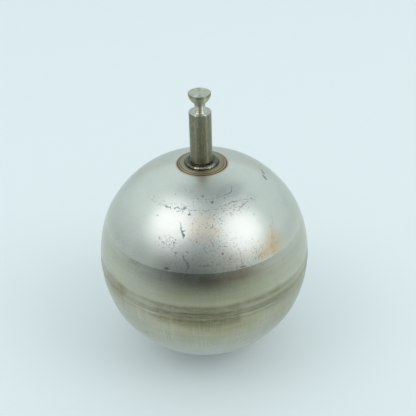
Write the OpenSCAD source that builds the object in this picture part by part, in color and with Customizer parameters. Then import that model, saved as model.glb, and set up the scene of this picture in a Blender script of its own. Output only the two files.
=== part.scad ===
// Float ball: a hollow sheet-metal ball, welded from two pressed halves, with a turned stem whose
// grooved head hooks into the lever of a float valve.
//
// Frame: millimetres, +Z up along the stem. The origin is the lowest point of the ball.

/* [Ball] */
// Diameter of the ball over its domes
ball_d = 100; // [80:1:150]
// Thickness of the sheet
wall = 1; // [0.6:0.1:2]
// How far the straightened skirt of each half stands inside the full ball at the equator
waist = 0.55; // [0.3:0.05:1]
// Height above the equator of the crease between dome and skirt
crease_h = 20.5; // [15:0.5:26]

/* [Girth weld] */
// Width of the weld between the two halves
girth_w = 3; // [2:0.1:5]
// How far the dressed weld stands proud of the ball's waist
girth_crown = 0.12; // [0.05:0.01:0.4]

/* [Stem] */
// Diameter of the bar that the stem and its head are turned from
stem_d = 10; // [8:0.5:14]
// Length of the shank from the top of the ball to its shoulder
shank_h = 25; // [15:0.5:50]
// Chamfer on the shank's shoulder and on the spigot's end
stem_chamfer = 0.3; // [0.1:0.1:0.8]
// Diameter of the spigot that passes through the sheet
spigot_d = 8; // [6:0.5:8]
// Length of the spigot inside the ball, below the sheet
spigot_inside = 3; // [1.5:0.5:10]

/* [Neck and head] */
// Diameter of the neck
neck_d = 4.8; // [3:0.1:6]
// Length of the neck between the shoulder and the head
neck_h = 4.2; // [2.5:0.1:10]
// Radius of the fillet where the neck meets the shoulder
neck_fillet = 0.4; // [0.2:0.1:0.6]
// Height of the whole head
head_h = 4.8; // [3.5:0.1:8]
// Height of the head's straight rim
rim_h = 1; // [0.6:0.1:1.6]
// Radius of the head's bulging underside, seen in section
underside_r = 5.5; // [5:0.1:12]
// Chamfer on the top edge of the head
head_chamfer = 0.15; // [0.05:0.05:0.4]

/* [Stem weld] */
// Radius of the rounded bead, seen in section
bead_r = 1.3; // [0.9:0.1:2]
// Distance from the stem's side to the crest of the bead
bead_offset = 1.6; // [1.3:0.1:2.5]
// Height of the bead's crest above the sheet under it
bead_h = 0.95; // [0.5:0.05:1.5]
// Height of the metal that fills the groove under the shank, above the sheet at the stem's side
fill_h = 0.4; // [0.2:0.05:0.8]

/* [Fits] */
// Gap all round the spigot in the hole of the upper half
spigot_gap = 0.05; // [0.02:0.01:0.2]

/* [Hidden] */
$fn = 360;

ball_r = ball_d / 2;
waist_r = ball_r - waist;
stem_r = stem_d / 2;
neck_r = neck_d / 2;
spigot_r = spigot_d / 2;
hole_r = spigot_r + spigot_gap;

// The skirt is an arc through the crease on the dome and the waist, centred on the equator plane.
crease_r = sqrt(pow(ball_r, 2) - pow(crease_h, 2));
skirt_in = waist_r - crease_r;
skirt_r = (pow(crease_h, 2) + pow(skirt_in, 2)) / (2 * skirt_in);
skirt_x = waist_r - skirt_r;

// The crown of the girth weld is a shallow arc across its width.
girth_half = girth_w / 2;
girth_edge_r = skirt_x + sqrt(pow(skirt_r, 2) - pow(girth_half, 2));
crown_in = waist_r + girth_crown - girth_edge_r;
crown_r = (pow(girth_half, 2) + pow(crown_in, 2)) / (2 * crown_in);
crown_x = waist_r + girth_crown - crown_r;

// Heights along the stem, from the ball's centre. The foot is where the shank's lower chamfer starts,
// level with the edge of the hole, so that the chamfer clears the sheet and leaves a groove to weld.
foot_z = sqrt(pow(ball_r, 2) - pow(hole_r, 2));
foot_h = stem_r - spigot_r;
spigot_z = ball_r - wall - spigot_inside;
shoulder_z = ball_r + shank_h;
head_z = shoulder_z + neck_h;
top_z = head_z + head_h;

// The head's underside is an arc from the rim's lower edge to the neck.
rim_point = [stem_r, top_z - rim_h];
neck_point = [neck_r, head_z];
chord = rim_point - neck_point;
chord_half = norm(chord) / 2;
chord_normal = [chord[1], -chord[0]] / norm(chord);
underside_depth = sqrt(pow(underside_r, 2) - pow(chord_half, 2));
underside_centre = (rim_point + neck_point) / 2 - chord_normal * underside_depth;

// The bead's crest stands over a circle on the sheet, and the fill reaches in under the shank.
bead_x = stem_r + bead_offset;
bead_z = sqrt(pow(ball_r, 2) - pow(bead_x, 2)) + bead_h - bead_r;
fill_z = sqrt(pow(ball_r, 2) - pow(stem_r, 2)) + fill_h;

// Right half of the ball's section, grown by delta: the dome's circle cut by the skirt's.
module ball_outline(delta) {
    intersection() {
        circle(r = ball_r + delta);
        translate([skirt_x, 0]) circle(r = skirt_r + delta);
        translate([0, -ball_r]) square([ball_r, ball_d]);
    }
}

// One pressed half in section, from the edge of the girth weld to the pole.
module half_section() {
    intersection() {
        difference() {
            ball_outline(0);
            ball_outline(-wall);
        }
        translate([0, girth_half]) square([ball_r, ball_r]);
    }
}

// Right half of the stem's section.
module stem_section() {
    // spigot and shank
    polygon([
        [0, spigot_z],
        [spigot_r - stem_chamfer, spigot_z],
        [spigot_r, spigot_z + stem_chamfer],
        [spigot_r, foot_z],
        [stem_r, foot_z + foot_h],
        [stem_r, shoulder_z - stem_chamfer],
        [stem_r - stem_chamfer, shoulder_z],
        [0, shoulder_z]
    ]);
    // neck, running up inside the head
    translate([0, spigot_z]) square([neck_r, top_z - spigot_z]);
    // fillet at the foot of the neck
    difference() {
        translate([0, shoulder_z]) square([neck_r + neck_fillet, neck_fillet]);
        translate([neck_r + neck_fillet, shoulder_z + neck_fillet]) circle(r = neck_fillet);
    }
    // underside of the head
    intersection() {
        translate(underside_centre) circle(r = underside_r);
        translate([0, head_z]) square([stem_r, head_h - rim_h]);
    }
    // rim and top of the head
    polygon([
        [0, top_z - rim_h],
        [stem_r, top_z - rim_h],
        [stem_r, top_z - head_chamfer],
        [stem_r - head_chamfer, top_z],
        [0, top_z]
    ]);
}

module upper_shell() {
    color([0.74, 0.76, 0.73]) translate([0, 0, ball_r]) difference() {
        rotate_extrude() half_section();
        cylinder(r = hole_r, h = ball_d);
    }
}

module lower_shell() {
    color([0.70, 0.72, 0.67]) translate([0, 0, ball_r]) mirror([0, 0, 1]) {
        rotate_extrude() half_section();
    }
}

module girth_weld() {
    color([0.50, 0.50, 0.40]) translate([0, 0, ball_r]) rotate_extrude() intersection() {
        difference() {
            union() {
                ball_outline(0);
                translate([crown_x, 0]) circle(r = crown_r);
            }
            ball_outline(-wall);
        }
        translate([0, -girth_half]) square([ball_d, girth_w]);
    }
}

module stem() {
    color([0.45, 0.45, 0.38]) translate([0, 0, ball_r]) rotate_extrude() stem_section();
}

module stem_weld() {
    color([0.33, 0.33, 0.31]) translate([0, 0, ball_r]) rotate_extrude() difference() {
        union() {
            translate([bead_x, bead_z]) circle(r = bead_r);
            translate([hole_r, 0]) square([bead_x - hole_r, fill_z]);
        }
        circle(r = ball_r);
        stem_section();
    }
}

upper_shell();
lower_shell();
girth_weld();
stem();
stem_weld();
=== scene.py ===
"""Float ball: two satin steel halves welded at the girth, and a turned stem with a grooved head.

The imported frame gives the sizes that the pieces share. Everything here is in metres, +Z up the stem.
"""

import math

import bmesh
import bpy
from mathutils import Matrix, Quaternion, Vector, noise


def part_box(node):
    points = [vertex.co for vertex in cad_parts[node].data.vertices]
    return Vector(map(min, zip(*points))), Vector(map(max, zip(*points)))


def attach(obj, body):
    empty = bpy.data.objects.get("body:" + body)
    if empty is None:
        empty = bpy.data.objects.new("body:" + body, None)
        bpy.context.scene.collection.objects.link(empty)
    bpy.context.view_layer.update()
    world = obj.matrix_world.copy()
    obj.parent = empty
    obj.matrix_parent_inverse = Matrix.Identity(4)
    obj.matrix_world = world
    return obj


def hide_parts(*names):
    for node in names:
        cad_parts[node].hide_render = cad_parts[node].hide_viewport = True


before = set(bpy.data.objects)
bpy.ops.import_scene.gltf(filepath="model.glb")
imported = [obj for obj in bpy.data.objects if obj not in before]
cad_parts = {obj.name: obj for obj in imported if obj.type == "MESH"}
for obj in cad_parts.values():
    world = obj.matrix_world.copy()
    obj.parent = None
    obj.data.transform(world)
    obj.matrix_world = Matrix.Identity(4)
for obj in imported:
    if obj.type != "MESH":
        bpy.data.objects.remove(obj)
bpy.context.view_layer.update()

MM = 0.001
# points nearer than this are one point
TINY = 1e-7
FULL_TURN = 2 * math.pi
AXIS_UP = Vector((0, 0, 1))
SECTION_NORMAL = Vector((0, 1, 0))

# ---------------------------------------------------------------- sizes from the frame
floor_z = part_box("lower_shell")[0].z
lower_edge_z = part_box("lower_shell")[1].z
upper_edge_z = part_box("upper_shell")[0].z
ball_z = (lower_edge_z + upper_edge_z) / 2
ball_r = ball_z - floor_z
girth_half = (upper_edge_z - lower_edge_z) / 2
girth_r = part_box("girth_weld")[1].x
girth_edge_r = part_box("upper_shell")[1].x
stem_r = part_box("stem")[1].x
stem_end_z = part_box("stem")[0].z
stem_top_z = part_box("stem")[1].z
bead_edge_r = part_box("stem_weld")[1].x
bead_top_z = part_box("stem_weld")[1].z

# ---------------------------------------------------------------- sizes inside the pieces
WALL = 1 * MM
WAIST = 0.55 * MM
CREASE_H = 20.5 * MM

SPIGOT_R = 4 * MM
SPIGOT_GAP = 0.05 * MM
STEM_CHAMFER = 0.3 * MM
SHANK_H = 25 * MM
NECK_R = 2.4 * MM
NECK_H = 4.2 * MM
NECK_FILLET = 0.4 * MM
RIM_H = 1 * MM
RIM_BREAK = 0.15 * MM
UNDERSIDE_R = 5.5 * MM

BEAD_R = 1.3 * MM
BEAD_OFFSET = 1.6 * MM
FILL_H = 0.4 * MM

# dents in the upper half: degrees round and up, reach in degrees, depth in millimetres
DENTS = ((96.5, 55.8, 2.4, 0.16), (87.8, 54.4, 2.6, 0.2), (-15, 44.5, 1.8, 0.06), (-21, 25.6, 1.6, 0.06))

# unevenness of the sheet: waves in the ball's radius, and their height in millimetres
SLOW_WAVES = 3.1
SLOW_WAVE_H = 0.05
QUICK_WAVES = 7
QUICK_WAVE_H = 0.012
# the sheet stays true by the girth and by the poles: the sine of the height, and the rise it eases in over
GIRTH_TRUE = 0.04
GIRTH_EASE = 0.25
POLE_TRUE = 0.965
POLE_EASE = 0.06

# ripples of the bead: their height, their count, how they bunch on one side in radians, and how they
# trail away from the crest in radians per metre
RIPPLE = 0.05 * MM
RIPPLE_COUNT = 34
RIPPLE_BUNCH = 2
RIPPLE_TRAIL = 900
# unevenness of the bead: its height in ripples, and its waves in the bead's radius
BEAD_UNEVEN = 1.5
BEAD_WAVES = 4

TURN_STEPS = 320
STEM_STEPS = 128


# ---------------------------------------------------------------- making turned pieces
class Section:
    """One piece's section, drawn point by point in the XZ plane, then turned about the Z axis."""

    def __init__(self, x, z):
        self.bm = bmesh.new()
        self.first = self.last = self.bm.verts.new((x, 0, z))

    def line(self, x, z, steps=1):
        """A straight stretch to (x, z), in equal steps."""
        start, end = self.last.co.copy(), Vector((x, 0, z))
        for step in range(1, steps + 1):
            made = bmesh.ops.extrude_vert_indiv(self.bm, verts=[self.last])
            self.last = made["verts"][0]
            self.last.co = start.lerp(end, step / steps)
        return self

    def arc(self, centre, angle, steps):
        """An arc about centre through the last point: a positive angle turns from +X towards +Z."""
        made = bmesh.ops.spin(
            self.bm,
            geom=[self.last],
            cent=(centre[0], 0, centre[1]),
            axis=-SECTION_NORMAL,
            angle=angle,
            steps=steps,
            use_merge=False,
            use_duplicate=False,
        )
        self.last = [g for g in made["geom_last"] if isinstance(g, bmesh.types.BMVert)][0]
        return self

    def turn(self, name, steps, sharp_over):
        """Closes the section and turns it all the way round. Edges over sharp_over degrees stay sharp."""
        bm = self.bm
        if self.last.co.x > TINY or self.first.co.x > TINY:
            self.line(self.first.co.x, self.first.co.z)
        bmesh.ops.remove_doubles(bm, verts=bm.verts[:], dist=TINY)
        bmesh.ops.spin(
            bm,
            geom=bm.verts[:] + bm.edges[:],
            cent=(0, 0, 0),
            axis=AXIS_UP,
            angle=FULL_TURN,
            steps=steps,
            use_merge=True,
            use_duplicate=False,
        )
        bmesh.ops.remove_doubles(bm, verts=bm.verts[:], dist=TINY)
        bmesh.ops.recalc_face_normals(bm, faces=bm.faces[:])
        for face in bm.faces:
            face.smooth = True
        for edge in bm.edges:
            edge.smooth = edge.calc_face_angle(0) < math.radians(sharp_over)
        mesh = bpy.data.meshes.new(name)
        bm.to_mesh(mesh)
        bm.free()
        piece = bpy.data.objects.new(name, mesh)
        bpy.context.scene.collection.objects.link(piece)
        return piece


def rise(radius, x):
    """Height over its centre of a circle's point that lies x from the centre's upright."""
    return math.sqrt(radius**2 - x**2)


def lean(centre, point):
    """Angle at centre from +X to the point, both given as (x, z)."""
    return math.atan2(point[1] - centre[1], point[0] - centre[0])


def direction(azimuth, elevation):
    """Unit vector for degrees round from the front towards +X, and degrees up."""
    turn, tilt = math.radians(azimuth), math.radians(elevation)
    return Vector((math.sin(turn) * math.cos(tilt), -math.cos(turn) * math.cos(tilt), math.sin(tilt)))


# ---------------------------------------------------------------- the ball's outline
waist_r = ball_r - WAIST
crease_r = rise(ball_r, CREASE_H)
skirt_r = (CREASE_H**2 + (waist_r - crease_r) ** 2) / (2 * (waist_r - crease_r))
skirt_x = waist_r - skirt_r


def crease_height(inset):
    """Height of the crease over the equator for the outline drawn in by inset."""
    dome, skirt = ball_r - inset, skirt_r - inset
    x = (dome**2 - skirt**2 + skirt_x**2) / (2 * skirt_x)
    return rise(dome, x)


def unevenness(way, side):
    """How far a pressed half stands off its true shape in a direction from the ball's centre."""
    spot = Vector((way.x, way.y, way.z * side))
    slow = noise.noise(spot * SLOW_WAVES + Vector((side, 0, 0))) * SLOW_WAVE_H
    quick = noise.noise(spot * QUICK_WAVES) * QUICK_WAVE_H
    upright = abs(way.z)
    off_girth = min(1, max(0, (upright - GIRTH_TRUE) / GIRTH_EASE))
    off_pole = min(1, max(0, (POLE_TRUE - upright) / POLE_EASE))
    eased = off_girth * off_pole
    pressed_in = 0
    if side > 0:
        for turn, up, reach, depth in DENTS:
            away = math.degrees(way.angle(direction(turn, up)))
            pressed_in += depth * math.exp(-((away / reach) ** 2))
    return ((slow + quick) * eased - pressed_in) * MM


def half_shell(name, hole_r, side):
    """One pressed half, drawn from its hole or pole to the girth and back along the inside."""
    dome_steps, skirt_steps = 56, 24
    skirt_centre = (skirt_x, 0)
    outer_crease = (rise(ball_r, CREASE_H), CREASE_H)
    inner_h = crease_height(WALL)
    inner_crease = (rise(ball_r - WALL, inner_h), inner_h)
    edge = (skirt_x + rise(skirt_r, girth_half), girth_half)
    inner_edge = (skirt_x + rise(skirt_r - WALL, girth_half), girth_half)
    top = (hole_r, rise(ball_r, hole_r))
    inner_top = (hole_r, rise(ball_r - WALL, hole_r))

    section = Section(*top)
    section.arc((0, 0), lean((0, 0), outer_crease) - lean((0, 0), top), dome_steps)
    section.arc(skirt_centre, lean(skirt_centre, edge) - lean(skirt_centre, outer_crease), skirt_steps)
    section.line(*inner_edge)
    up_the_skirt = lean(skirt_centre, inner_crease) - lean(skirt_centre, inner_edge)
    section.arc(skirt_centre, up_the_skirt, skirt_steps // 2)
    section.arc((0, 0), lean((0, 0), inner_top) - lean((0, 0), inner_crease), dome_steps // 2)
    piece = section.turn(name, TURN_STEPS, sharp_over=2.2)
    for vertex in piece.data.vertices:
        way = vertex.co.normalized()
        vertex.co += way * unevenness(way, side)
    place = Matrix.Translation((0, 0, ball_z)) @ Matrix.Diagonal((1, 1, side, 1))
    piece.data.transform(place)
    if side < 0:
        piece.data.flip_normals()
    return piece


def girth_ring():
    """The dressed weld: a shallow crown outside, flush with the sheet inside."""
    crown_in = girth_r - girth_edge_r
    crown_r = (girth_half**2 + crown_in**2) / (2 * crown_in)
    crown_centre = (girth_r - crown_r, 0)
    skirt_centre = (skirt_x, 0)
    inner_edge = (skirt_x + rise(skirt_r - WALL, girth_half), girth_half)
    low_edge = (girth_edge_r, -girth_half)
    section = Section(girth_edge_r, girth_half)
    section.arc(crown_centre, 2 * lean(crown_centre, low_edge), 16)
    section.line(inner_edge[0], -girth_half)
    section.arc(skirt_centre, 2 * lean(skirt_centre, inner_edge), 6)
    piece = section.turn("girth_weld_ring", TURN_STEPS, sharp_over=20)
    piece.data.transform(Matrix.Translation((0, 0, ball_z)))
    return piece


def stem_piece():
    """Spigot, shank, neck and mushroom head, turned from one bar."""
    foot_z = ball_z + rise(ball_r, SPIGOT_R + SPIGOT_GAP)
    shoulder_z = ball_z + ball_r + SHANK_H
    head_z = shoulder_z + NECK_H
    rim = (stem_r, stem_top_z - RIM_H)
    neck = (NECK_R, head_z)
    chord = Vector((rim[0] - neck[0], rim[1] - neck[1]))
    outward = Vector((chord.y, -chord.x)).normalized()
    depth = rise(UNDERSIDE_R, chord.length / 2)
    middle = Vector(((rim[0] + neck[0]) / 2, (rim[1] + neck[1]) / 2))
    underside = middle - outward * depth

    section = Section(0, stem_end_z)
    section.line(SPIGOT_R - STEM_CHAMFER, stem_end_z, 4)
    section.line(SPIGOT_R, stem_end_z + STEM_CHAMFER)
    section.line(SPIGOT_R, foot_z, 4)
    section.line(stem_r, foot_z + stem_r - SPIGOT_R)
    section.line(stem_r, shoulder_z - STEM_CHAMFER, 24)
    section.arc((stem_r - STEM_CHAMFER, shoulder_z - STEM_CHAMFER), math.pi / 2, 4)
    section.line(NECK_R + NECK_FILLET, shoulder_z, 3)
    section.arc((NECK_R + NECK_FILLET, shoulder_z + NECK_FILLET), -math.pi / 2, 5)
    section.line(NECK_R, head_z, 6)
    section.arc(underside, lean(underside, rim) - lean(underside, neck), 16)
    section.line(stem_r, stem_top_z - RIM_BREAK, 2)
    section.line(stem_r - RIM_BREAK, stem_top_z)
    section.line(0, stem_top_z, 8)
    return section.turn("turned_stem", STEM_STEPS, sharp_over=28)


def stem_bead():
    """The weld bead round the stem's foot."""
    crest_x = stem_r + BEAD_OFFSET
    centre = (crest_x, bead_top_z - ball_z - BEAD_R)
    fill_z = rise(ball_r, stem_r) + FILL_H
    foot_z = rise(ball_r, SPIGOT_R + SPIGOT_GAP)
    toe = (bead_edge_r, rise(ball_r, bead_edge_r))
    heel = (stem_r, fill_z)
    heel_on_bead = (crest_x - rise(BEAD_R, fill_z - centre[1]), fill_z)

    section = Section(*toe)
    section.arc(centre, lean(centre, heel_on_bead) - lean(centre, toe), 18)
    section.line(*heel)
    section.line(stem_r, foot_z + stem_r - SPIGOT_R)
    section.line(SPIGOT_R + SPIGOT_GAP, foot_z + SPIGOT_GAP)
    section.line(SPIGOT_R + SPIGOT_GAP, foot_z)
    start = (SPIGOT_R + SPIGOT_GAP, foot_z)
    section.arc((0, 0), lean((0, 0), toe) - lean((0, 0), start), 6)
    piece = section.turn("stem_weld_bead", TURN_STEPS, sharp_over=35)
    for vertex in piece.data.vertices:
        out = math.hypot(vertex.co.x, vertex.co.y)
        turn = math.atan2(vertex.co.x, -vertex.co.y)
        bulge = max(0, 1 - ((out - crest_x) / BEAD_R) ** 2)
        if vertex.co.z > centre[1]:
            lap = RIPPLE_COUNT * turn + RIPPLE_BUNCH * math.cos(turn) - RIPPLE_TRAIL * (out - crest_x)
            uneven = noise.noise(Vector((math.sin(turn), math.cos(turn), 0)) * BEAD_WAVES)
            vertex.co.z += RIPPLE * bulge * (math.sin(lap) + BEAD_UNEVEN * uneven - 1)
    piece.data.transform(Matrix.Translation((0, 0, ball_z)))
    return piece


# ---------------------------------------------------------------- node trees
class Nodes:
    """Short names for building one node tree. A value may be a number, a colour or a node's output."""

    def __init__(self, tree):
        self.tree = tree

    def add(self, kind, **settings):
        node = self.tree.nodes.new("ShaderNode" + kind)
        for key, value in settings.items():
            setattr(node, key, value)
        return node

    def feed(self, socket, value):
        if isinstance(value, bpy.types.NodeSocket):
            self.tree.links.new(value, socket)
        elif value is not None:
            socket.default_value = value

    def math(self, operation, a, b=None, c=None, clamp=False):
        node = self.add("Math", operation=operation, use_clamp=clamp)
        for socket, value in zip(node.inputs, (a, b, c)):
            self.feed(socket, value)
        return node.outputs[0]

    def times(self, a, b):
        return self.math("MULTIPLY", a, b)

    def plus(self, a, b):
        return self.math("ADD", a, b)

    def most(self, a, b):
        return self.math("MAXIMUM", a, b)

    def swing(self, value, amount):
        """A grain's value lies about 0.5: how far it is from there, times the amount."""
        return self.times(self.math("SUBTRACT", value, 0.5), amount)

    def vector(self, operation, a, b=None):
        node = self.add("VectorMath", operation=operation)
        self.feed(node.inputs[0], a)
        self.feed(node.inputs[1], b)
        return node.outputs["Value"] if operation in ("DOT_PRODUCT", "LENGTH") else node.outputs[0]

    def scaled(self, vector, size):
        node = self.add("VectorMath", operation="SCALE")
        self.feed(node.inputs[0], vector)
        self.feed(node.inputs["Scale"], size)
        return node.outputs[0]

    def mix(self, share, a, b, blend_type="MIX"):
        node = self.add("Mix", data_type="RGBA", blend_type=blend_type)
        self.feed(node.inputs["Factor"], share)
        self.feed(node.inputs[6], a)
        self.feed(node.inputs[7], b)
        return node.outputs[2]

    def tinted(self, share, color, tint):
        """The colour times the tint, as far as the share says."""
        return self.mix(share, color, (*tint, 1), "MULTIPLY")

    def split(self, vector):
        node = self.add("SeparateXYZ")
        self.feed(node.inputs[0], vector)
        return node.outputs

    def join(self, x, y, z):
        node = self.add("CombineXYZ")
        for socket, value in zip(node.inputs, (x, y, z)):
            self.feed(socket, value)
        return node.outputs[0]

    def reach(self, x, y):
        """Distance from the stem's axis."""
        return self.vector("LENGTH", self.join(x, y, 0))

    def turn(self, x, y):
        """Radians round the stem's axis, from the front towards +X."""
        return self.math("ARCTAN2", x, self.times(y, -1))

    def fade(self, value, start, end, low=0, high=1):
        """Low at start, high at end, smooth between; start may be above end."""
        node = self.add("MapRange", interpolation_type="SMOOTHSTEP")
        labels = ("Value", "From Min", "From Max", "To Min", "To Max")
        for label, given in zip(labels, (value, start, end, low, high)):
            self.feed(node.inputs[label], given)
        return node.outputs[0]

    def noise(self, vector, scale=1, detail=2, roughness=0.5):
        node = self.add("TexNoise")
        self.feed(node.inputs["Vector"], vector)
        self.feed(node.inputs["Scale"], scale)
        self.feed(node.inputs["Detail"], detail)
        self.feed(node.inputs["Roughness"], roughness)
        return node.outputs["Fac"]

    def ramp(self, value, stops):
        """Colours along the value: each stop is a place on it and the colour there."""
        low, high = stops[0][0], stops[-1][0]
        share = self.add("MapRange")
        self.feed(share.inputs["Value"], value)
        self.feed(share.inputs["From Min"], low)
        self.feed(share.inputs["From Max"], high)
        node = self.add("ValToRGB")
        self.feed(node.inputs[0], share.outputs[0])
        elements = node.color_ramp.elements
        while len(elements) < len(stops):
            elements.new(1)
        for element, (place, color) in zip(elements, stops):
            element.position = (place - low) / (high - low)
            element.color = (*color, 1)
        return node.outputs[0]

    def group(self, tree, **values):
        node = self.tree.nodes.new("ShaderNodeGroup")
        node.node_tree = tree
        for key, value in values.items():
            self.feed(node.inputs[key.replace("_", " ")], value)
        return node.outputs


def new_group(name, inputs, outputs):
    """A node group with named sockets: returns its tree, a Nodes, its inputs and its outputs."""
    tree = bpy.data.node_groups.new(name, "ShaderNodeTree")
    for in_out, sockets in (("INPUT", inputs), ("OUTPUT", outputs)):
        for label, kind in sockets.items():
            tree.interface.new_socket(label, in_out=in_out, socket_type="NodeSocket" + kind)
    start = tree.nodes.new("NodeGroupInput")
    end = tree.nodes.new("NodeGroupOutput")
    return tree, Nodes(tree), start.outputs, end.inputs


# ---------------------------------------------------------------- effects that materials share
def make_lobe():
    """A round soft patch of sky: 1 towards the direction given, less with the angle from it."""
    tree, n, given, made = new_group(
        "Soft patch of sky",
        {"Direction": "Vector", "Towards": "Vector", "Width": "Float"},
        {"Share": "Float"},
    )
    angle = n.math("ARCCOSINE", n.vector("DOT_PRODUCT", given["Direction"], given["Towards"]))
    spread = n.math("POWER", n.math("DIVIDE", angle, given["Width"]), 2)
    n.feed(made["Share"], n.math("EXPONENT", n.times(spread, -1)))
    return tree


def make_place():
    """Where a point lies on the ball: its direction from the centre, and its degrees round and up."""
    tree, n, given, made = new_group(
        "Place on the ball",
        {"Point": "Vector", "Centre Height": "Float"},
        {"Direction": "Vector", "Round": "Float", "Up": "Float"},
    )
    x, y, z = n.split(given["Point"])
    out = n.vector("NORMALIZE", n.join(x, y, n.math("SUBTRACT", z, given["Centre Height"])))
    n.feed(made["Direction"], out)
    n.feed(made["Round"], n.math("DEGREES", n.turn(x, y)))
    n.feed(made["Up"], n.math("DEGREES", n.math("ARCSINE", n.split(out)[2])))
    return tree


def make_ring():
    """A soft line all the way round the ball, at a height in degrees."""
    tree, n, given, made = new_group(
        "Ring line",
        {"Up": "Float", "At": "Float", "Width": "Float"},
        {"Share": "Float"},
    )
    away = n.math("DIVIDE", n.math("SUBTRACT", given["Up"], given["At"]), given["Width"])
    n.feed(made["Share"], n.math("EXPONENT", n.times(n.math("POWER", away, 2), -1)))
    return tree


def make_patch():
    """An oval patch on the ball, sized in degrees. Ragged moves its edge in and out, Soft blurs it."""
    tree, n, given, made = new_group(
        "Oval patch",
        {
            "Round": "Float",
            "Up": "Float",
            "At Round": "Float",
            "At Up": "Float",
            "Half Width": "Float",
            "Half Height": "Float",
            "Ragged": "Float",
            "Soft": "Float",
        },
        {"Share": "Float"},
    )
    turn = n.math("WRAP", n.math("SUBTRACT", given["Round"], given["At Round"]), 180, -180)
    across = n.math("DIVIDE", turn, given["Half Width"])
    over = n.math("DIVIDE", n.math("SUBTRACT", given["Up"], given["At Up"]), given["Half Height"])
    away = n.plus(n.vector("LENGTH", n.join(across, over, 0)), given["Ragged"])
    n.feed(made["Share"], n.fade(away, n.plus(1, given["Soft"]), n.math("SUBTRACT", 1, given["Soft"])))
    return tree


def make_stroke():
    """A straight scratch over the ball from one direction to another, its half width in degrees."""
    tree, n, given, made = new_group(
        "Scratch",
        {"Direction": "Vector", "From": "Vector", "To": "Vector", "Width": "Float"},
        {"Share": "Float"},
    )
    whole = n.vector("SUBTRACT", given["To"], given["From"])
    part = n.vector("SUBTRACT", given["Direction"], given["From"])
    length = n.vector("DOT_PRODUCT", whole, whole)
    share = n.math("DIVIDE", n.vector("DOT_PRODUCT", part, whole), length, clamp=True)
    nearest = n.vector("NORMALIZE", n.vector("ADD", given["From"], n.scaled(whole, share)))
    away = n.math("DEGREES", n.vector("LENGTH", n.vector("SUBTRACT", given["Direction"], nearest)))
    n.feed(made["Share"], n.fade(away, given["Width"], n.times(given["Width"], 0.25)))
    return tree


def make_specks():
    """Small round specks. Amount is the share of cells that hold one, Cell their size in metres."""
    tree, n, given, made = new_group(
        "Specks",
        {"Point": "Vector", "Cell": "Float", "Amount": "Float"},
        {"Share": "Float"},
    )
    cells = n.add("TexVoronoi", feature="F1")
    n.feed(cells.inputs["Vector"], n.scaled(given["Point"], n.math("DIVIDE", 1, given["Cell"])))
    n.feed(cells.inputs["Scale"], 1)
    chance, size, strength = n.split(cells.outputs["Color"])
    radius = n.math("MULTIPLY_ADD", size, 0.2, 0.12)
    spot = n.fade(cells.outputs["Distance"], radius, n.times(radius, 0.4))
    kept = n.math("LESS_THAN", chance, given["Amount"])
    n.feed(made["Share"], n.times(n.times(spot, kept), n.math("MULTIPLY_ADD", strength, 0.6, 0.4)))
    return tree


def make_flecks():
    """Short curved flecks, as left by scuffs: Reach is how far apart they curl, in metres."""
    tree, n, given, made = new_group(
        "Curved flecks",
        {"Point": "Vector", "Reach": "Float", "Fineness": "Float"},
        {"Share": "Float"},
    )
    point = n.scaled(given["Point"], n.math("DIVIDE", 1, given["Reach"]))
    line = n.math("ABSOLUTE", n.math("SUBTRACT", n.noise(point, 1, 1, 0.4), 0.5))
    bits = n.noise(n.scaled(point, given["Fineness"]), 1, 2, 0.6)
    n.feed(made["Share"], n.times(n.fade(line, 0.06, 0.02), n.fade(bits, 0.5, 0.58)))
    return tree


def make_grain():
    """Satin grain: a fine value and a slow cloudy one, both about 0.5."""
    tree, n, given, made = new_group(
        "Satin grain",
        {"Point": "Vector", "Size": "Float"},
        {"Fine": "Float", "Cloud": "Float"},
    )
    point = n.scaled(given["Point"], n.math("DIVIDE", 1, given["Size"]))
    n.feed(made["Fine"], n.noise(point, 1, 3, 0.6))
    n.feed(made["Cloud"], n.noise(point, 0.03, 3, 0.55))
    return tree


def make_lines():
    """Fine lines round the stem's axis that come and go: Pitch across them, Reach along them, in metres."""
    tree, n, given, made = new_group(
        "Lines round the axis",
        {"Point": "Vector", "Pitch": "Float", "Reach": "Float"},
        {"Value": "Float"},
    )
    x, y, z = n.split(given["Point"])
    along = n.join(n.math("DIVIDE", x, given["Reach"]), n.math("DIVIDE", y, given["Reach"]), 0)
    across = n.join(0, 0, n.math("DIVIDE", z, given["Pitch"]))
    n.feed(made["Value"], n.noise(n.vector("ADD", along, across), 1, 3, 0.6))
    return tree


def make_streaks():
    """Streaks that run up and down: Count is how fine they are, Reach their length in metres."""
    tree, n, given, made = new_group(
        "Streaks up and down",
        {"Point": "Vector", "Count": "Float", "Reach": "Float"},
        {"Value": "Float"},
    )
    x, y, z = n.split(given["Point"])
    out = n.scaled(n.vector("NORMALIZE", n.join(x, y, 0)), given["Count"])
    along = n.join(0, 0, n.math("DIVIDE", z, given["Reach"]))
    n.feed(made["Value"], n.noise(n.vector("ADD", out, along), 1, 3, 0.6))
    return tree


LOBE = make_lobe()
PLACE = make_place()
RING = make_ring()
PATCH = make_patch()
STROKE = make_stroke()
SPECKS = make_specks()
FLECKS = make_flecks()
GRAIN = make_grain()
LINES = make_lines()
STREAKS = make_streaks()


def oval(n, place, spot, ragged, soft):
    """Share of an oval patch; spot is its degrees round and up, its half width and its half height."""
    at_turn, at_up, half_width, half_height = spot
    return n.group(
        PATCH,
        Round=place["Round"],
        Up=place["Up"],
        At_Round=at_turn,
        At_Up=at_up,
        Half_Width=half_width,
        Half_Height=half_height,
        Ragged=ragged,
        Soft=soft,
    )["Share"]


def specks(n, point, cell, amount, strength):
    """How dark the specks are at a point: their cell in metres, the share of cells, and their strength."""
    return n.times(n.group(SPECKS, Point=point, Cell=cell, Amount=amount)["Share"], strength)


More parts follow.
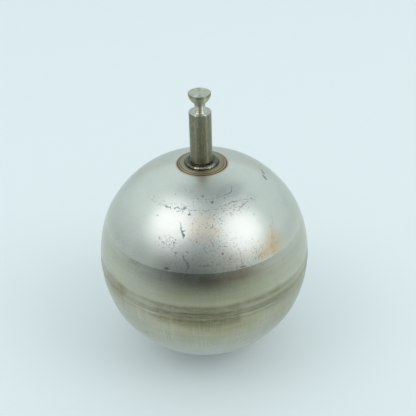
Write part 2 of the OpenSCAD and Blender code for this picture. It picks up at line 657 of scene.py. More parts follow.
# ---------------------------------------------------------------- the ball's sheet
# colours of the clean sheet by degrees up: bare domes, and skirts with the olive tint of the weld's heat; the
# lighter band from 24 to 29 degrees up is a painted highlight on the crease's upper lip
SKIN = (
    (-46, (0.56, 0.565, 0.51)),
    (-29, (0.53, 0.535, 0.465)),
    (-24, (0.50, 0.50, 0.42)),
    (-16, (0.50, 0.49, 0.40)),
    (-10, (0.505, 0.49, 0.39)),
    (-6, (0.49, 0.47, 0.37)),
    (4.2, (0.49, 0.47, 0.37)),
    (6.8, (0.53, 0.515, 0.41)),
    (12, (0.54, 0.53, 0.42)),
    (20, (0.53, 0.52, 0.43)),
    (24, (0.58, 0.58, 0.50)),
    (25.5, (0.62, 0.62, 0.54)),
    (29, (0.58, 0.585, 0.515)),
    (46, (0.58, 0.59, 0.52)),
)
# lines round the girth, and painted highlight and shade along the crease: degrees up, width, tint, how strong
GIRTH_LINES_AND_CREASE_SHADE = (
    # painted highlight on the crease's upper lip, then painted shade in the crease and just under it
    (24.5, 0.45, (1.20, 1.19, 1.14), 0.9),
    (23.8, 0.25, (0.66, 0.66, 0.64), 0.7),
    (23.0, 0.8, (0.84, 0.85, 0.86), 0.7),
    # the girth's own lines
    (5.1, 1.0, (0.76, 0.74, 0.66), 0.9),
    (1.4, 0.3, (0.80, 0.80, 0.78), 0.7),
    (0.4, 0.35, (0.76, 0.75, 0.73), 0.9),
    (-0.7, 0.45, (0.74, 0.73, 0.72), 0.8),
    (-2.1, 0.35, (1.18, 1.18, 1.18), 0.8),
    (-3.0, 0.3, (0.72, 0.71, 0.68), 0.8),
    (-3.9, 0.7, (0.78, 0.74, 0.66), 0.8),
)
# stains and smudges about the girth, and painted shade: tint, then degrees round and up, half width and half
# height, softness
GIRTH_STAINS_AND_SHADE = (
    ((0.86, 0.85, 0.73), (7, 13, 30, 9), 0.6),
    ((0.90, 0.88, 0.78), (2, -10, 27, 9), 0.6),
    # painted shade: the shadowed bench that the sheet mirrors low on the right
    ((0.87, 0.84, 0.76), (66, -17, 24, 13), 0.6),
    ((0.86, 0.84, 0.78), (-56, 2.2, 10, 5.6), 0.3),
    ((0.83, 0.83, 0.78), (36, 5.6, 18, 1.8), 0.6),
    ((0.84, 0.84, 0.80), (37, 0.2, 15, 2.2), 0.5),
    # darkest at the front: heat tint, and painted shade of the dark open front that the sheet mirrors
    ((0.73, 0.73, 0.68), (0, -2, 16, 6), 0.6),
    ((0.88, 0.86, 0.80), (8, -9.5, 14, 3.5), 0.6),
    ((0.86, 0.86, 0.80), (45, 0, 15, 6), 0.6),
    # painted shade just under the crease, where the sheet mirrors the dark open front
    ((0.94, 0.88, 0.82), (19, 20.5, 17, 4.5), 0.6),
    ((0.84, 0.79, 0.77), (18, 21.8, 10, 3), 0.6),
    ((0.87, 0.84, 0.78), (-48.5, 4.4, 3.6, 3.2), 0.5),
    ((0.93, 0.91, 0.86), (-52, 2.2, 4.5, 3), 0.5),
    # painted shade just under the crease at its left end
    ((0.86, 0.86, 0.86), (-42, 22.3, 4.5, 1.1), 0.6),
    ((0.79, 0.79, 0.79), (28, -1.2, 11, 0.5), 0.6),
    ((0.80, 0.80, 0.80), (43, -2.3, 6, 0.5), 0.6),
)


def make_sheet():
    """The ball's satin sheet all over: colour, roughness and height of its grain."""
    tree, n, given, made = new_group(
        "Satin sheet",
        {"Point": "Vector", "Direction": "Vector", "Round": "Float", "Up": "Float"},
        {"Color": "Color", "Roughness": "Float", "Height": "Float"},
    )
    point, way, turn, up = (given[label] for label in ("Point", "Direction", "Round", "Up"))
    fine, cloud = n.group(GRAIN, Point=point, Size=0.0005)
    lines = n.group(LINES, Point=point, Pitch=0.0006, Reach=0.03)["Value"]
    wide_lines = n.group(LINES, Point=point, Pitch=0.0022, Reach=0.05)["Value"]
    streaks = n.group(STREAKS, Point=point, Count=70, Reach=0.02)["Value"]
    slow = n.noise(way, 3, 2)
    waver = n.math("MULTIPLY_ADD", n.noise(way, 7, 2), 1.4, -0.7)

    skirt = n.times(n.fade(up, 25.5, 23), n.fade(up, -30, -22))
    girth = n.times(n.fade(up, 7.2, 5.4), n.fade(up, -13, -6))
    color = n.ramp(n.plus(up, n.times(waver, 0.3)), SKIN)

    # the heat's tint is deepest at the front, where the weld was started and stopped, and uneven elsewhere;
    # the front's darkness is also painted shade where the sheet mirrors the dark open front
    smears = n.fade(n.noise(n.vector("MULTIPLY", way, (16, 16, 60)), 1, 3), 0.34, 0.6, 0.45, 1)
    front = n.times(n.fade(turn, -33, -24), n.fade(turn, 20, 16.5))
    core = n.times(n.times(front, n.fade(up, 6.4, 4.2, 0, 1)), n.fade(up, -9, -5))
    elsewhere = n.times(n.fade(n.math("ABSOLUTE", turn), 62, 80), n.fade(slow, 0.5, 0.68))
    deep = n.times(n.most(core, n.times(n.times(girth, elsewhere), 0.7)), smears)
    color = n.tinted(deep, color, (0.74, 0.72, 0.66))
    ragged = n.math("MULTIPLY_ADD", cloud, 0.9, -0.45)
    # stains, smudges and painted shade
    for tint, spot, soft in GIRTH_STAINS_AND_SHADE:
        color = n.tinted(oval(n, given, spot, ragged, soft), color, tint)

    flank = n.math("ABSOLUTE", n.math("SUBTRACT", n.math("ABSOLUTE", turn), 64))
    clear = n.fade(flank, 12, 28, 0.4, 1)
    # lines round the girth, with the painted highlight and shade of the crease
    for place, width, tint, strength in GIRTH_LINES_AND_CREASE_SHADE:
        share = n.group(RING, Up=n.plus(up, waver), At=place, Width=width)["Share"]
        broken = n.times(n.fade(n.noise(way, 7 + place, 2), 0.32, 0.62, 0.3, 1), clear)
        color = n.tinted(n.times(n.times(share, broken), strength), color, tint)

    # grain, brushing and cloudiness, all gentle
    brushed = n.math("MULTIPLY_ADD", n.plus(lines, wide_lines), 0.5, -0.5)
    light = n.math("MULTIPLY_ADD", n.math("SUBTRACT", fine, 0.5), 0.16, 1)
    light = n.plus(light, n.times(n.times(brushed, n.fade(up, 25.5, 23, 0.1, 0.38)), n.fade(up, -30, -18)))
    patchy = n.times(n.fade(n.noise(way, 5, 1), 0.4, 0.6, 0.3, 1), n.fade(up, -6, 6, 0.6, 0.25))
    light = n.plus(light, n.swing(streaks, n.times(skirt, patchy)))
    light = n.plus(light, n.swing(cloud, 0.22))
    color = n.mix(1, color, n.join(light, light, light), "MULTIPLY")
    n.feed(made["Color"], color)

    rough = n.math("MULTIPLY_ADD", girth, 0.12, n.fade(up, 27, 22, 0.3, 0.25))
    rough = n.plus(rough, n.swing(cloud, 0.14))
    rough = n.plus(rough, n.swing(fine, 0.08))
    n.feed(made["Roughness"], rough)

    height = n.plus(n.times(fine, 0.5), n.times(lines, n.math("MULTIPLY_ADD", girth, 1.6, 0.2)))
    n.feed(made["Height"], n.plus(height, n.times(streaks, n.times(skirt, 0.5))))
    return tree


SHEET = make_sheet()


def metal(name):
    """A material of bare metal: returns it, its Nodes and its shader."""
    material = bpy.data.materials.new(name)
    material.use_nodes = True
    shader = material.node_tree.nodes["Principled BSDF"]
    shader.inputs["Metallic"].default_value = 1
    return material, Nodes(material.node_tree), shader


def finish_metal(n, shader, color, roughness, height, depth):
    """Wires a metal's colour, roughness and bump; depth is the bump's height in metres."""
    bump = n.add("Bump")
    bump.inputs["Strength"].default_value = 1
    bump.inputs["Distance"].default_value = depth
    n.feed(bump.inputs["Height"], height)
    n.feed(shader.inputs["Base Color"], color)
    n.feed(shader.inputs["Roughness"], roughness)
    n.feed(shader.inputs["Normal"], bump.outputs[0])


def sheet_start(n):
    """The point, the place on the ball and the satin sheet, for a material of the ball."""
    point = n.add("TexCoord").outputs["Object"]
    place = n.group(PLACE, Point=point, Centre_Height=ball_z)
    sheet = n.group(SHEET, Point=point, Direction=place["Direction"], Round=place["Round"], Up=place["Up"])
    return point, place, sheet


# ---------------------------------------------------------------- wear on the upper half
# each: degrees round and up where it starts, then where it ends, half width in degrees, how dark
SCRATCHES = (
    (23.5, 62.5, 33, 63, 0.5, 0.75),
    (33, 63, 41, 66.6, 0.35, 0.7),
    (-35, 55.5, -30, 55.7, 0.55, 0.75),
    (-26, 56, -21, 56.2, 0.45, 0.7),
    (-19, 56.2, -15, 56.7, 0.7, 0.7),
    (-13, 56, -6, 56.1, 0.35, 0.6),
    (-5, 56, 14, 55.6, 0.22, 0.45),
    (4.2, 51.6, 9.6, 53.4, 0.55, 0.8),
    (10.5, 56, 31, 57.6, 0.4, 0.65),
    (20, 54.2, 33, 56.4, 0.28, 0.6),
    (30, 52.4, 41, 55.4, 0.32, 0.65),
    (33, 53.8, 49, 55, 0.35, 0.7),
    (36, 56.8, 50, 55.4, 0.28, 0.6),
    (28, 55.2, 36, 53.4, 0.25, 0.55),
    (38, 51.6, 45, 53.6, 0.25, 0.5),
    (28, 58.2, 37, 56.8, 0.25, 0.5),
    (43, 54.2, 51, 53.6, 0.25, 0.5),
    (-19, 50.4, -16, 46.2, 0.3, 0.6),
    (-16, 46.2, -14.6, 43.4, 0.65, 0.85),
    (-14.6, 43.4, -13.4, 41.8, 0.5, 0.75),
    (-15.8, 44.9, -13.4, 45.2, 0.5, 0.7),
    (-2.6, 28.2, 2, 28, 0.5, 0.9),
    (1.5, 28, 6.8, 27.8, 0.32, 0.6),
    (-13.2, 33.4, -9.2, 27.8, 0.5, 0.85),
    (-9.2, 27.8, -10.2, 25.2, 0.65, 0.9),
    (-17.5, 33.5, -16, 29, 0.25, 0.5),
    (-18.5, 30.5, -20.3, 26.5, 0.3, 0.5),
    (20.8, 34.4, 21.4, 29.8, 0.26, 0.5),
    (21.4, 29.8, 21, 25, 0.3, 0.55),
    (-52.5, 55.2, -46, 55.8, 0.3, 0.4),
    (-25.5, 68, -20, 66.5, 0.3, 0.4),
    (-20, 67.6, -8, 65.8, 0.22, 0.35),
    (-32, 63.5, -29, 61.8, 0.3, 0.35),
    (42, 28.6, 56, 43, 0.28, 0.42),
    (98.4, 55.9, 93.5, 55.4, 1.2, 0.6),
    (88.6, 55.6, 86, 54.6, 1.6, 0.7),
)
# each: degrees round and up, half width and half height, how dark
SPOTS = (
    (0.2, 64, 1.5, 0.6, 0.6),
    (9.4, 60.1, 1.4, 0.7, 0.85),
    (16.4, 63.2, 0.9, 0.4, 0.45),
    (-15, 66, 0.9, 0.4, 0.35),
    (-11.6, 53.7, 1, 0.6, 0.7),
    (-16.6, 57, 1.5, 0.6, 0.6),
    (5, 55.9, 0.8, 0.4, 0.5),
    (-4.7, 39.8, 0.7, 0.5, 0.6),
    (10.8, 33.5, 0.7, 0.6, 0.75),
    (-19.4, 38.5, 0.7, 0.5, 0.6),
    (-17.2, 33.7, 0.6, 0.45, 0.85),
    (-10.3, 34.7, 0.7, 0.5, 0.55),
    (-21.2, 25.2, 1.5, 0.8, 0.85),
    (14.6, 30.2, 0.6, 0.6, 0.5),
    (-0.5, 36.4, 0.5, 0.4, 0.45),
    (21.2, 24.9, 1.6, 0.5, 0.6),
    (-13.6, 42.9, 0.8, 0.7, 0.8),
    (18, 54.6, 1, 0.4, 0.55),
    (27, 53.6, 0.8, 0.4, 0.5),
    (-27, 37.6, 0.8, 0.4, 0.45),
    (-30, 39.5, 0.7, 0.4, 0.4),
    (-38, 49.6, 0.9, 0.4, 0.3),
    (41, 47.6, 0.9, 0.4, 0.3),
)
MARK_COLOR = (0.10, 0.105, 0.11)
# darker patches and a stain on the dome: degrees round and up, half width and half height, and a tint where
# they differ
DOME_SHADE_AND_STAINS = (
    # painted shade near the top, where the sheet mirrors the dim patch overhead
    ((36, 64, 17, 4), (0.88, 0.89, 0.91)),
    ((-14, 67, 22, 3.6), (0.88, 0.89, 0.89)),
    # a peach stain
    ((39.5, 29.5, 6.5, 4), (1.04, 0.97, 0.90)),
)
# a painted reflection: the pinkish patch at the front of the dome
PINKISH = (0.5, 46.5, 10, 7)
RUST_HALO = (42, 31, 12, 6.5)
FAINT_RUST = (12, 31, 14, 5)
RUST = ((45, 31.5, 6, 4), (37, 27, 6.5, 2.2), (48.5, 36.5, 3, 2.5))
RUST_DOTS = (
    (46.2, 32.2, 1.0, 0.8),
    (42.6, 29.2, 0.8, 1.0),
    (44.6, 30.6, 0.7, 1.1),
    (36.7, 26.9, 1.3, 0.6),
    (47, 29.2, 1.6, 0.6),
    (48.4, 38, 0.9, 0.6),
    (42.8, 26.2, 1.4, 0.5),
)
# worn parts of the dome: degrees round and up, half width and half height
WORN = (
    (-23, 37.5, 9, 4.5),
    (-12, 29.5, 12, 6),
    (12, 28.5, 13, 6),
    (4, 38, 16, 6),
    (2, 49, 12, 7),
    (30, 55, 24, 3.5),
    (-22, 56, 30, 2.2),
    (12, 61.5, 20, 2.6),
    (30, 31, 9, 6),
)
# temper colours of the stem's weld, by metres from the stem's axis
OLIVE = (0.34, 0.325, 0.22)
PINK = (0.38, 0.305, 0.21)
THIN = (0.17, 0.12, 0.07)
EDGE = (0.15, 0.085, 0.05)
TEMPER = (
    (0.0078, (0.10, 0.08, 0.05)),
    (0.0082, (0.24, 0.20, 0.12)),
    (0.0086, (0.24, 0.24, 0.165)),
    (0.0092, (0.29, 0.285, 0.195)),
    (0.0096, OLIVE),
    (0.0099, OLIVE),
    (0.0102, THIN),
    (0.0104, THIN),
    (0.0106, PINK),
    (0.0110, PINK),
    (0.0112, EDGE),
    (0.0115, EDGE),
    (0.01165, (0.26, 0.16, 0.085)),
    (0.0118, (0.46, 0.38, 0.22)),
    (0.0124, (0.53, 0.51, 0.40)),
)
# how far the rings stand off the axis and how much they waver, in metres, then where the purple starts and
# ends, and where the rings have gone and where they are whole
TEMPER_OFFSET = 0.2 * MM
TEMPER_WAVER = 0.5 * MM
PURPLE_EDGE = (0.0107, 0.0111)
TEMPER_EDGE = (0.0128, 0.0117)


def upper_sheet():
    """Satin sheet with the marks of use, stains, painted shade and a painted reflection, and the temper rings
    of the stem's weld.
    """
    material, n, shader = metal("Satin sheet, worn")
    point, place, sheet = sheet_start(n)
    way, turn, up = place["Direction"], place["Round"], place["Up"]
    fine, cloud = n.group(GRAIN, Point=point, Size=0.0011)
    blots = n.group(GRAIN, Point=point, Size=0.00022)["Cloud"]
    crumbs = n.noise(point, 1800, 2)
    ragged = n.math("MULTIPLY_ADD", cloud, 1.2, -0.6)
    color = sheet["Color"]

    def patch(spot):
        return oval(n, place, spot, ragged, 0.55)

    # tints: darker near the top, as painted shade; dull behind; pinkish in front, as a painted reflection;
    # rusty at the right
    for spot, tint in DOME_SHADE_AND_STAINS:
        color = n.tinted(patch(spot), color, tint)
    behind = n.times(n.fade(n.math("ABSOLUTE", turn), 84, 104), n.fade(up, 40, 55))
    color = n.tinted(behind, color, (0.88, 0.87, 0.84))
    mottled = n.fade(blots, 0.36, 0.6, 0.3, 1)
    # painted reflection: pinkish at the front
    pinkish = n.times(patch(PINKISH), n.fade(blots, 0.3, 0.6, 0.65, 1))
    color = n.tinted(pinkish, color, (1.14, 1.0, 0.92))
    color = n.tinted(n.times(patch(RUST_HALO), mottled), color, (1.04, 0.93, 0.80))
    rusty = n.fade(n.noise(point, 420, 4, 0.65), 0.38, 0.62, 0.3, 1)
    for spot in RUST:
        color = n.tinted(n.times(patch(spot), rusty), color, (1.03, 0.91, 0.79))
    for spot in RUST_DOTS:
        color = n.tinted(n.times(patch(spot), mottled), color, (1.0, 0.84, 0.68))
    color = n.tinted(n.times(patch(FAINT_RUST), mottled), color, (1.04, 0.94, 0.86))

    # specks and short curved flecks, thick where the dome is worn
    worn = None
    for spot in WORN:
        share = patch(spot)
        worn = share if worn is None else n.most(worn, share)
    dome = n.fade(up, 24.4, 25)
    wear = n.times(n.math("MULTIPLY_ADD", worn, 0.94, 0.06), dome)
    flecks = n.group(FLECKS, Point=point, Reach=0.0019, Fineness=2.3)["Share"]
    dark = n.most(specks(n, point, 0.0011, 0.5, 0.6), specks(n, point, 0.003, 0.12, 0.75))
    dark = n.most(dark, n.times(flecks, 0.55))
    dark = n.most(dark, n.times(n.fade(fine, 0.56, 0.7), 0.3))
    dark = n.times(dark, wear)
    broken = n.times(n.fade(blots, 0.3, 0.5, 0.6, 1), n.fade(crumbs, 0.3, 0.55, 0.55, 1))
    shake = n.add("TexNoise")
    n.feed(shake.inputs["Vector"], way)
    n.feed(shake.inputs["Scale"], 24)
    centred = n.vector("SUBTRACT", shake.outputs["Color"], (0.5, 0.5, 0.5))
    wandering = n.vector("ADD", way, n.scaled(centred, 0.035))
    for start_turn, start_up, end_turn, end_up, width, strength in SCRATCHES:
        stroke = n.group(
            STROKE,
            Direction=wandering,
            From=direction(start_turn, start_up),
            To=direction(end_turn, end_up),
            Width=width,
        )["Share"]
        dark = n.most(dark, n.times(n.times(stroke, broken), strength))
    rough_edge = n.math("MULTIPLY_ADD", crumbs, 2.2, -1.1)
    for *spot, strength in SPOTS:
        dark = n.most(dark, n.times(oval(n, place, spot, rough_edge, 0.2), strength))
    color = n.mix(dark, color, (*MARK_COLOR, 1))

    # temper colours round the stem's weld, by distance from its axis
    x, y, _ = n.split(point)
    out = n.reach(n.plus(x, -TEMPER_OFFSET), y)
    out = n.math("MULTIPLY_ADD", n.noise(way, 9, 1), TEMPER_WAVER, out)
    temper = n.ramp(out, TEMPER)
    rings = n.noise(n.join(n.math("DIVIDE", out, 0.0004), n.math("DIVIDE", turn, 60), 0), 1, 1)
    temper = n.tinted(n.fade(rings, 0.44, 0.6), temper, (0.72, 0.68, 0.60))
    purple = n.times(n.fade(out, *PURPLE_EDGE), n.fade(n.math("ABSOLUTE", n.plus(turn, 13)), 17, 8))
    temper = n.tinted(purple, temper, (0.8, 0.9, 1.5))
    # painted light: the rings lighter at the front than further round
    temper = n.tinted(n.fade(n.math("ABSOLUTE", turn), 70, 30), temper, (1.2, 1.22, 1.2))
    tempered = n.fade(out, *TEMPER_EDGE)
    color = n.mix(tempered, color, temper)

    rough = n.plus(n.plus(sheet["Roughness"], n.times(dark, 0.25)), n.times(tempered, 0.12))
    height = n.math("SUBTRACT", sheet["Height"], n.times(dark, 12))
    finish_metal(n, shader, color, rough, height, 2e-6)
    return material


def lower_sheet():
    """Satin sheet of the lower half, with a few rubs where it has stood and rolled."""
    material, n, shader = metal("Satin sheet, plain")
    point, place, sheet = sheet_start(n)
    fine, cloud = n.group(GRAIN, Point=point, Size=0.0011)
    rubbed = n.times(n.fade(place["Up"], -60, -84), n.fade(cloud, 0.42, 0.62))
    scuffed = n.times(n.fade(fine, 0.62, 0.8), n.math("MULTIPLY_ADD", rubbed, 0.5, 0.08))
    dark = n.most(specks(n, point, 0.004, 0.12, 0.4), scuffed)
    color = n.tinted(rubbed, sheet["Color"], (0.88, 0.87, 0.84))
    color = n.mix(dark, color, (*MARK_COLOR, 1))
    rough = n.plus(sheet["Roughness"], n.times(rubbed, 0.1))
    finish_metal(n, shader, color, rough, n.math("SUBTRACT", sheet["Height"], n.times(dark, 4)), 2e-6)
    return material


def girth_sheet():
    """The dressed girth weld: the sheet's tint, ground flat by a belt that left lines round it."""
    material, n, shader = metal("Dressed girth weld")
    point, _, sheet = sheet_start(n)
    ground = n.group(LINES, Point=point, Pitch=0.00025, Reach=0.012)["Value"]
    pits = specks(n, point, 0.0022, 0.25, 0.5)
    color = n.tinted(n.fade(ground, 0.48, 0.66), sheet["Color"], (0.82, 0.81, 0.78))
    color = n.mix(pits, color, (*MARK_COLOR, 1))
    rough = n.math("MULTIPLY_ADD", ground, 0.1, sheet["Roughness"])
    finish_metal(n, shader, color, rough, n.math("MULTIPLY_ADD", ground, 2, sheet["Height"]), 3e-6)
    return material


# ---------------------------------------------------------------- the stem and its weld
# the dull bar, from its dark streaks to its light ones
DULL_BAR = (
    (0.7, (0.15, 0.145, 0.09)),
    (0.98, (0.25, 0.245, 0.165)),
    (1.3, (0.40, 0.40, 0.30)),
)
# the bead's metal, by metres from the stem's axis; its light band is carried out past the crest as a painted
# highlight
BEAD = (
    (0.0050, (0.07, 0.065, 0.055)),
    (0.0053, (0.14, 0.135, 0.11)),
    (0.0057, (0.25, 0.245, 0.20)),
    (0.0064, (0.33, 0.33, 0.29)),
    (0.0074, (0.38, 0.37, 0.31)),
    (0.0078, (0.22, 0.16, 0.09)),
    (0.0081, (0.12, 0.10, 0.06)),
)


def stem_metal():
    """Dull bar on the shank, turned bright on the shoulder and neck, and a faced top, with painted
    reflection, sheen and shade.
    """
    material, n, shader = metal("Turned bar")
    point = n.add("TexCoord").outputs["Object"]
    x, y, z = n.split(point)
    out = n.reach(x, y)
    fine, cloud = n.group(GRAIN, Point=point, Size=0.00035)
    streaks = n.group(STREAKS, Point=point, Count=7, Reach=0.009)["Value"]
    fine_streaks = n.group(STREAKS, Point=point, Count=14, Reach=0.003)["Value"]
    spots = n.noise(point, 900, 2)
    tool_lines = n.group(LINES, Point=point, Pitch=0.00018, Reach=0.02)["Value"]
    rings = n.noise(n.join(n.math("DIVIDE", out, 0.00025), 0, 0), 1, 2)

    shoulder_z = ball_z + ball_r + SHANK_H
    bar = n.fade(out, stem_r - 0.25 * MM, stem_r - 0.1 * MM)
    bar = n.times(bar, n.fade(z, shoulder_z, shoulder_z - 0.2 * MM))
    rim = n.fade(out, stem_r - 0.4 * MM, stem_r - 0.15 * MM)
    rim = n.times(rim, n.fade(z, stem_top_z - 1.2 * MM, stem_top_z - RIM_H))
    top = n.fade(z, stem_top_z - 0.03 * MM, stem_top_z - 0.01 * MM)
    top = n.times(top, n.fade(out, stem_r - 0.12 * MM, stem_r - 0.2 * MM))

    mottle = n.plus(n.times(streaks, 0.6), n.times(fine_streaks, 0.6))
    mottle = n.plus(mottle, n.times(n.plus(fine, spots), 0.4))
    dull = n.ramp(mottle, DULL_BAR)
    warm = n.fade(z, bead_top_z + 6 * MM, bead_top_z - 1 * MM)
    dull = n.tinted(warm, dull, (0.80, 0.74, 0.58))
    turn = n.math("DEGREES", n.turn(x, y))
    # painted reflection on the bar: a darker stripe just right of the front and a lighter band at the front,
    # as the bar mirrors dark and light there
    dull = n.tinted(n.fade(n.math("ABSOLUTE", n.math("SUBTRACT", turn, 21)), 15, 5), dull, (0.72, 0.72, 0.68))
    facing = n.times(n.fade(n.math("ABSOLUTE", n.plus(turn, 2)), 28, 10), n.math("SUBTRACT", 1, warm))
    dull = n.tinted(facing, dull, (1.3, 1.31, 1.24))
    bright = n.mix(n.fade(tool_lines, 0.4, 0.65), (0.53, 0.53, 0.42, 1), (0.38, 0.37, 0.29, 1))
    shoulder = n.fade(out, NECK_R + 0.2 * MM, NECK_R + 0.6 * MM)
    shoulder = n.times(shoulder, n.fade(z, shoulder_z + 0.5 * MM, shoulder_z + 0.1 * MM))
    bright = n.mix(shoulder, bright, (0.50, 0.505, 0.44, 1))
    # painted sheen: the lower neck lightened all round so that its glints show brighter
    painted_neck_sheen = n.fade(z, shoulder_z + 3.6 * MM, shoulder_z + 2.4 * MM)
    painted_neck_sheen = n.times(painted_neck_sheen, n.fade(out, NECK_R + 0.5 * MM, NECK_R + 0.3 * MM))
    bright = n.tinted(painted_neck_sheen, bright, (1.4, 1.38, 1.45))
    faced = n.mix(n.fade(rings, 0.35, 0.65), (0.50, 0.51, 0.41, 1), (0.43, 0.435, 0.34, 1))
    faced = n.tinted(n.fade(cloud, 0.45, 0.62), faced, (0.86, 0.85, 0.80))
    color = n.mix(bar, bright, dull)
    # painted shade: the head's rim darkened, dimming the lamps' glint on it
    color = n.tinted(rim, color, (0.74, 0.69, 0.57))
    color = n.mix(top, color, faced)
    scuffs = specks(n, point, 0.0014, 0.2, 0.5)
    color = n.mix(scuffs, color, (*MARK_COLOR, 1))

    # painted shade: the rim's break darkened and roughened, dimming the lamps' glint on it
    edge = n.fade(out, stem_r - 0.25 * MM, stem_r - 0.14 * MM)
    edge = n.times(edge, n.fade(z, stem_top_z - 0.2 * MM, stem_top_z - 0.14 * MM))
    color = n.tinted(edge, color, (0.85, 0.83, 0.77))
    rough = n.math("MULTIPLY_ADD", bar, -0.08, 0.46)
    rough = n.plus(n.plus(rough, n.times(top, -0.1)), n.times(edge, 0.3))
    rough = n.plus(rough, n.swing(fine, 0.2))
    height = n.plus(n.times(n.plus(fine_streaks, fine), bar), n.times(tool_lines, n.math("SUBTRACT", 1, bar)))
    height = n.plus(height, n.times(rings, top))
    # tool marks run round the axis, so what the metal reflects is drawn out across them
    shader.inputs["Anisotropic"].default_value = 0.95
    shader.inputs["Anisotropic Rotation"].default_value = 0.25
    finish_metal(n, shader, color, rough, height, 6e-6)
    return material


def bead_metal():
    """Weld bead: glossy and dark on its crest, brown and gold at the toe, sooty in the groove, with a painted
    highlight past the crest and painted shade left and right of its front.
    """
    material, n, shader = metal("Dark weld bead")
    point = n.add("TexCoord").outputs["Object"]
    x, y, _ = n.split(point)
    out = n.reach(x, y)
    fine = n.group(GRAIN, Point=point, Size=0.0003)["Fine"]
    patches = n.noise(point, 260, 2)
    color = n.ramp(n.math("MULTIPLY_ADD", fine, 0.0003, out), BEAD)
    # painted shade: the bead darker left and right than at its front
    sides = n.fade(n.math("ABSOLUTE", n.turn(x, y)), 0.6, 1.2)
    color = n.tinted(n.most(n.fade(patches, 0.42, 0.58), sides), color, (0.30, 0.30, 0.26))
    rough = n.math("MULTIPLY_ADD", fine, 0.3, 0.05)
    n.feed(shader.inputs["Metallic"], n.fade(out, stem_r, stem_r + 0.7 * MM, 0.6, 1))
    finish_metal(n, shader, color, rough, n.plus(fine, patches), 2e-5)
    return material


# ---------------------------------------------------------------- the object
def fit_out(piece, node, material):
    """Gives a finished piece its body and its material, and hides the node that it stands for."""
    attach(piece, "root")
    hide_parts(node)
    piece.data.materials.append(material)


fit_out(half_shell("upper_half", SPIGOT_R + SPIGOT_GAP, 1), "upper_shell", upper_sheet())
fit_out(half_shell("lower_half", 0, -1), "lower_shell", lower_sheet())
fit_out(girth_ring(), "girth_weld", girth_sheet())
fit_out(stem_piece(), "stem", stem_metal())
fit_out(stem_bead(), "stem_weld", bead_metal())

# ---------------------------------------------------------------- stage
FLOOR_COLOR = (0.815, 0.85, 0.84)
FLOOR_R = 8
BLACK = (0, 0, 0, 1)
FILL_COLOR = (0.76, 0.87, 0.915)
SKY_COLOR = (0.86, 1.0, 1.06)
LAMP_COLOR = (1.06, 1.0, 1.13)
BACKDROP_COLOR = (0.70, 0.81, 0.86)
SKY_LOW, SKY_RISE = 0.88, 0.36
LAMP_DISTANCE = 1.6
# how the sheet mirrors the bench, a painted reflection: it glows pale close by, in metres, and darker further
# out towards the open front
MIRRORED_COLOR = (0.62, 0.71, 0.73)
MIRRORED_SHARE = 0.42
PALE_R = 0.09
DARKENS_OVER = 0.25
OPEN_TOWARDS = math.radians(-10)
OPEN_WIDTH = math.radians(70)
# azimuth and elevation of the lamps, in degrees
LEFT_LAMP = (-67.8, 53.8)
RIGHT_LAMP = (64, 44.1)
# glows in the sky: azimuth and elevation, width, all in degrees, and how much lighter or darker
LEFT_SOFTBOX = (-60.8, 51.2, 15.3, 4.4)
LEFT_SPILL = (-74, 42, 34, 0.1)
RIGHT_SOFTBOX = (58.8, 41.3, 14.8, 5.3)
OPEN_FRONT = (-14, -12, 62, 1.04)
DIM_TOP = (118, 76, 31, 0.6)
# the camera: its distance and aim in radii of the ball, its elevation and lean, and its lens in millimetres
CAMERA_FAR = 9
CAMERA_UP = math.radians(36.1)
CAMERA_LEAN = math.radians(-1.62)
AIM_RIGHT = 0.0467
AIM_UP = 0.4816
LENS = 80.8


def floor():
    """The pale bench. In the sheet's reflection it glows pale by the ball and darker at the open front: a
    painted reflection.
    """
    bm = bmesh.new()
    bmesh.ops.create_circle(bm, cap_ends=True, segments=96, radius=FLOOR_R)
    mesh = bpy.data.meshes.new("floor")
    bm.to_mesh(mesh)
    bm.free()
    mesh.transform(Matrix.Translation((0, 0, floor_z)))
    piece = bpy.data.objects.new("floor", mesh)
    bpy.context.scene.collection.objects.link(piece)
    material = bpy.data.materials.new("Pale bench")
    material.use_nodes = True
    shader = material.node_tree.nodes["Principled BSDF"]
    shader.inputs["Base Color"].default_value = (*FLOOR_COLOR, 1)
    shader.inputs["Roughness"].default_value = 0.7
    shader.inputs["Specular IOR Level"].default_value = 0.2
    n = Nodes(material.node_tree)
    x, y, _ = n.split(n.add("TexCoord").outputs["Object"])
    out = n.reach(x, y)
    past = n.most(n.math("SUBTRACT", out, PALE_R), 0)
    away = n.math("SUBTRACT", 1, n.math("EXPONENT", n.math("DIVIDE", past, -DARKENS_OVER)))
    side = n.math("DIVIDE", n.plus(n.turn(x, y), -OPEN_TOWARDS), OPEN_WIDTH)
    ahead = n.math("EXPONENT", n.times(n.math("POWER", side, 2), -1))
    near = n.fade(out, PALE_R, PALE_R / 3, 0, MIRRORED_SHARE)
    shade = n.times(away, ahead)
    # painted reflection: for reflected rays the bench glows pale by the ball and black towards the open front
    reflected = n.add("Emission")
    n.feed(reflected.inputs["Color"], n.mix(n.fade(out, 0.1, 0.085), BLACK, (*MIRRORED_COLOR, 1)))
    share = n.times(n.most(shade, near), n.add("LightPath").outputs["Is Glossy Ray"])
    mixer = n.add("MixShader")
    n.feed(mixer.inputs[0], share)
    n.feed(mixer.inputs[1], shader.outputs[0])
    n.feed(mixer.inputs[2], reflected.outputs[0])
    n.feed(material.node_tree.nodes["Material Output"].inputs["Surface"], mixer.outputs[0])
    mesh.materials.append(material)


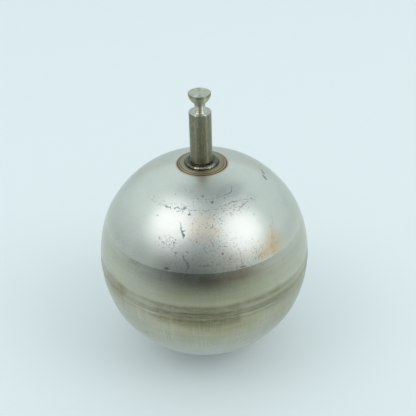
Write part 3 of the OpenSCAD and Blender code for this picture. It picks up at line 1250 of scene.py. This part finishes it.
def sky():
    """A pale studio: two large softboxes, an open dark side at the front and a dim patch overhead."""
    world = bpy.data.worlds.new("Pale studio")
    bpy.context.scene.world = world
    world.use_nodes = True
    n = Nodes(world.node_tree)
    towards = n.add("TexCoord").outputs["Generated"]

    def patch(azimuth, elevation, width, strength):
        way = direction(azimuth, elevation)
        share = n.group(LOBE, Direction=towards, Towards=way, Width=math.radians(width))["Share"]
        return n.times(share, strength)

    level = n.math("MULTIPLY_ADD", n.split(towards)[2], SKY_RISE, SKY_LOW)
    for dim in (OPEN_FRONT, DIM_TOP):
        level = n.times(level, n.math("SUBTRACT", 1, patch(*dim), clamp=True))
    lamps = n.plus(n.plus(patch(*LEFT_SOFTBOX), patch(*LEFT_SPILL)), patch(*RIGHT_SOFTBOX))
    glow = n.mix(lamps, BLACK, (*LAMP_COLOR, 1))
    studio = n.mix(1, n.mix(level, BLACK, (*SKY_COLOR, 1)), glow, "ADD")
    rays = n.add("LightPath").outputs
    seen = n.mix(rays["Is Glossy Ray"], (*FILL_COLOR, 1), studio)
    seen = n.mix(rays["Is Camera Ray"], seen, (*BACKDROP_COLOR, 1))
    n.feed(world.node_tree.nodes["Background"].inputs["Color"], seen)


def softbox(name, azimuth, elevation, width, height, power):
    """The light and the soft shadow of one softbox. Its reflection is the world's glow in the same place."""
    data = bpy.data.lights.new(name, "AREA")
    data.shape = "ELLIPSE"
    data.size = width
    data.size_y = height
    data.energy = power
    lamp = bpy.data.objects.new(name, data)
    bpy.context.scene.collection.objects.link(lamp)
    place = direction(azimuth, elevation) * LAMP_DISTANCE
    lamp.location = place + Vector((0, 0, ball_z))
    lamp.rotation_euler = place.to_track_quat("Z", "Y").to_euler()
    lamp.visible_glossy = False
    return lamp


def glint(name, azimuth, elevation, width, power, lit):
    """The bare lamp inside a softbox, which only the polished pieces in the collection lit show."""
    lamp = softbox(name, azimuth, elevation, width, width, power)
    lamp.visible_glossy = True
    lamp.light_linking.receiver_collection = lit


def camera():
    """The view from the front and above, with the slight lean of a hand-held camera."""
    distance = CAMERA_FAR * ball_r
    aim = Vector((AIM_RIGHT * ball_r, 0, ball_z + AIM_UP * ball_r))
    place = Vector((0, -distance * math.cos(CAMERA_UP), ball_z + distance * math.sin(CAMERA_UP)))
    data = bpy.data.cameras.new("camera")
    data.sensor_width = 36
    data.lens = LENS
    holder = bpy.data.objects.new("camera", data)
    bpy.context.scene.collection.objects.link(holder)
    holder.location = place
    holder.rotation_mode = "QUATERNION"
    level = (aim - place).to_track_quat("-Z", "Y")
    holder.rotation_quaternion = level @ Quaternion((0, 0, 1), CAMERA_LEAN)
    bpy.context.scene.camera = holder


floor()
sky()
softbox("softbox_left", *LEFT_LAMP, 0.9, 0.9, 2.0)
softbox("softbox_right", *RIGHT_LAMP, 0.9, 1.0, 3.4)
polished = bpy.data.collections.new("polished")
for piece_name in ("turned_stem", "stem_weld_bead"):
    polished.objects.link(bpy.data.objects[piece_name])
glint("lamp_left", *LEFT_LAMP, 0.16, 4.4, polished)
glint("lamp_right", *RIGHT_LAMP, 0.16, 5, polished)
camera()
bpy.context.scene.view_settings.view_transform = "Standard"
